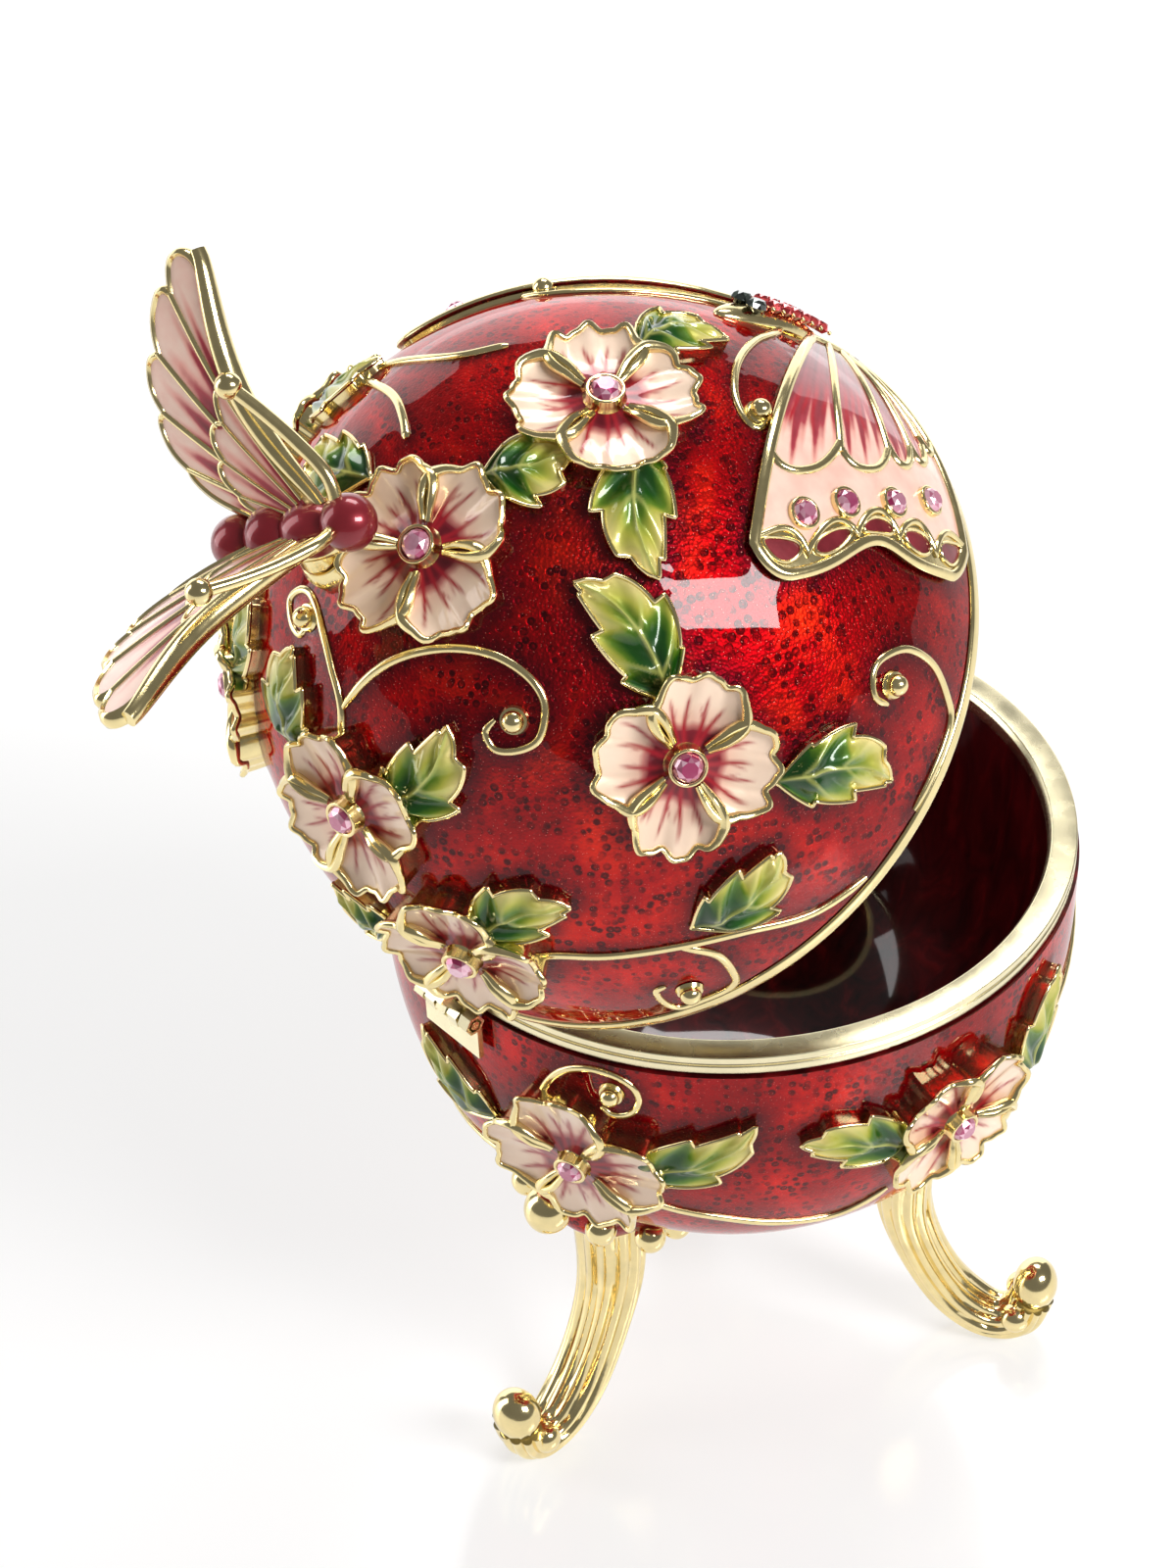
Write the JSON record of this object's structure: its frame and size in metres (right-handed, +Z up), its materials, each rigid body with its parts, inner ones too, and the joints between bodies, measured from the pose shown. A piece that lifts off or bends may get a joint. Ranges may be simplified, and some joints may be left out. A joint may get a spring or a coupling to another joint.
{
  "type": "jewelled egg trinket box",
  "caption": "Red enamelled egg-shaped trinket box on scrolled gold feet, its hinged lid open, with raised flowers, leaves, crystals and a butterfly on top.",
  "frame": {"origin": "middle of the box's footprint, lid open, on the surface it stands on", "axes": "+Z up, +Y towards the hinge at the back, the front of the egg towards -Y, +X to the right seen from the front"},
  "size_m": [0.0756, 0.108, 0.1494],
  "materials": {
    "red_enamel": "translucent gloss enamel over a dotted metal ground",
    "gold": "polished pale gold plate",
    "pink_crystal": "faceted",
    "red_crystal": "faceted",
    "black_crystal": "faceted",
    "rose_enamel": "gloss enamel, rose to pale pink",
    "petal_enamel": "gloss enamel, peach pink with crimson veins",
    "leaf_enamel": "gloss enamel, dark green shading to yellow tips"
  },
  "bodies": {
    "base": {"bowl": "red_enamel", "bowl_rim": "gold", "foot_back": "gold", "foot_left": "gold", "foot_right": "gold", "hinge_bowl_leaf": "gold", "hinge_pin": "gold", "bowl_flower_stone_1": "pink_crystal", "bowl_flower_stone_2": "pink_crystal", "bowl_flower_stone_3": "pink_crystal"},
    "lid": {"lid": "red_enamel", "lid_rim": "gold", "hinge_lid_leaf": "gold", "finial_butterfly": "rose_enamel", "butterfly_body_stones": "red_crystal", "lid_flower_stone_1": "pink_crystal", "lid_flower_stone_2": "pink_crystal", "lid_flower_stone_3": "pink_crystal", "lid_flower_stone_4": "pink_crystal", "lid_flower_stone_5": "pink_crystal", "lid_flower_stone_6": "pink_crystal", "lid_flower_stone_7": "pink_crystal", "wing_stone_left_1": "pink_crystal", "wing_stone_right_1": "pink_crystal", "wing_stone_left_2": "pink_crystal", "wing_stone_right_2": "pink_crystal", "wing_stone_left_3": "pink_crystal", "wing_stone_right_3": "pink_crystal", "wing_stone_left_4": "pink_crystal", "wing_stone_right_4": "pink_crystal"}
  },
  "joints": [
    {"name": "lid_hinge", "type": "hinge", "parent": "base", "child": "lid", "pos_m": [0.00094, 0.01988, 0.0699], "axis": [-1, 0, 0], "range_deg": [-40.4, 20]}
  ]
}
